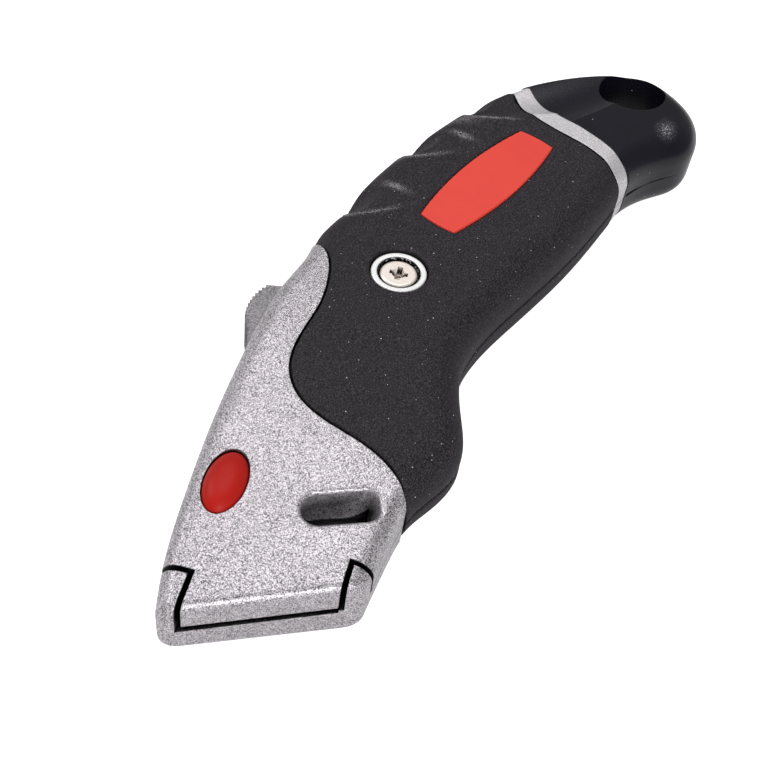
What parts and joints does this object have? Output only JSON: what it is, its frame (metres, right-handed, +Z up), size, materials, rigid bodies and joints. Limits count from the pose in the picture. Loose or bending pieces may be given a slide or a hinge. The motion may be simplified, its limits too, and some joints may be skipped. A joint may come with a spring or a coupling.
{
  "type": "retractable utility knife",
  "caption": "Retractable utility knife with a die-cast nose, rubber grips, a spine thumb slider, a blade release button and a pull-out spare-blade magazine in the tail.",
  "frame": {"origin": "middle of the overall box, on the plane the knife lies on with its left face up", "axes": "+X from the nose to the tail along the blade's travel, +Y from the cutting edge to the spine, +Z up out of the left face"},
  "size_m": [0.1488, 0.0716, 0.0173],
  "materials": {
    "shell_paint": "silver metallic paint on die-cast alloy, fine sparkle",
    "grip_rubber": "matt charcoal moulded rubber with a fine grain",
    "badge_red": "smooth orange-red plastic, plain",
    "cup_bright": "bright plated",
    "screw_nickel": "warm nickel plate",
    "blade_steel": "ground carbon steel, bright edge",
    "carrier_zinc": "plain cast alloy",
    "spring_steel": "blued spring steel",
    "slider_grey": "dull grey cast alloy",
    "button_red": "glossy moulded red plastic",
    "cap_black": "glossy black moulded plastic"
  },
  "bodies": {
    "handle": {"left_shell": "shell_paint", "right_shell": "shell_paint", "left_grip": "grip_rubber", "right_grip": "grip_rubber", "left_badge": "badge_red", "right_badge": "badge_red", "screw_cup": "cup_bright", "body_screw": "screw_nickel", "release_spring": "spring_steel"},
    "blade_slide": {"blade_carrier": "carrier_zinc", "blade": "blade_steel", "blade_clip": "spring_steel", "clip_rivet": "screw_nickel", "slider_spring": "spring_steel"},
    "thumb_button": {"thumb_slider": "slider_grey"},
    "release": {"release_button": "button_red"},
    "magazine": {"tail_magazine": "cap_black", "spare_clip": "spring_steel", "spare_blade_1": "blade_steel", "spare_blade_2": "blade_steel", "spare_blade_3": "blade_steel", "spare_blade_4": "blade_steel", "spare_blade_5": "blade_steel"}
  },
  "joints": [
    {"name": "blade_extend", "type": "slide", "parent": "handle", "child": "blade_slide", "axis": [-1, 0, 0], "range_m": [0, 0.025]},
    {"name": "thumb_press", "type": "slide", "parent": "blade_slide", "child": "thumb_button", "axis": [0, -1, 0], "range_m": [0, 0.0012], "stiffness_N_per_m": 2500, "springref_m": -0.0004, "deforming": ["slider_spring"]},
    {"name": "release_press", "type": "slide", "parent": "handle", "child": "release", "axis": [0, 0, -1], "range_m": [0, 0.0012], "stiffness_N_per_m": 3000, "springref_m": -0.0004, "deforming": ["release_spring"]},
    {"name": "magazine_pull", "type": "slide", "parent": "handle", "child": "magazine", "axis": [0.9171, -0.3987, 0], "range_m": [0, 0.05]}
  ]
}
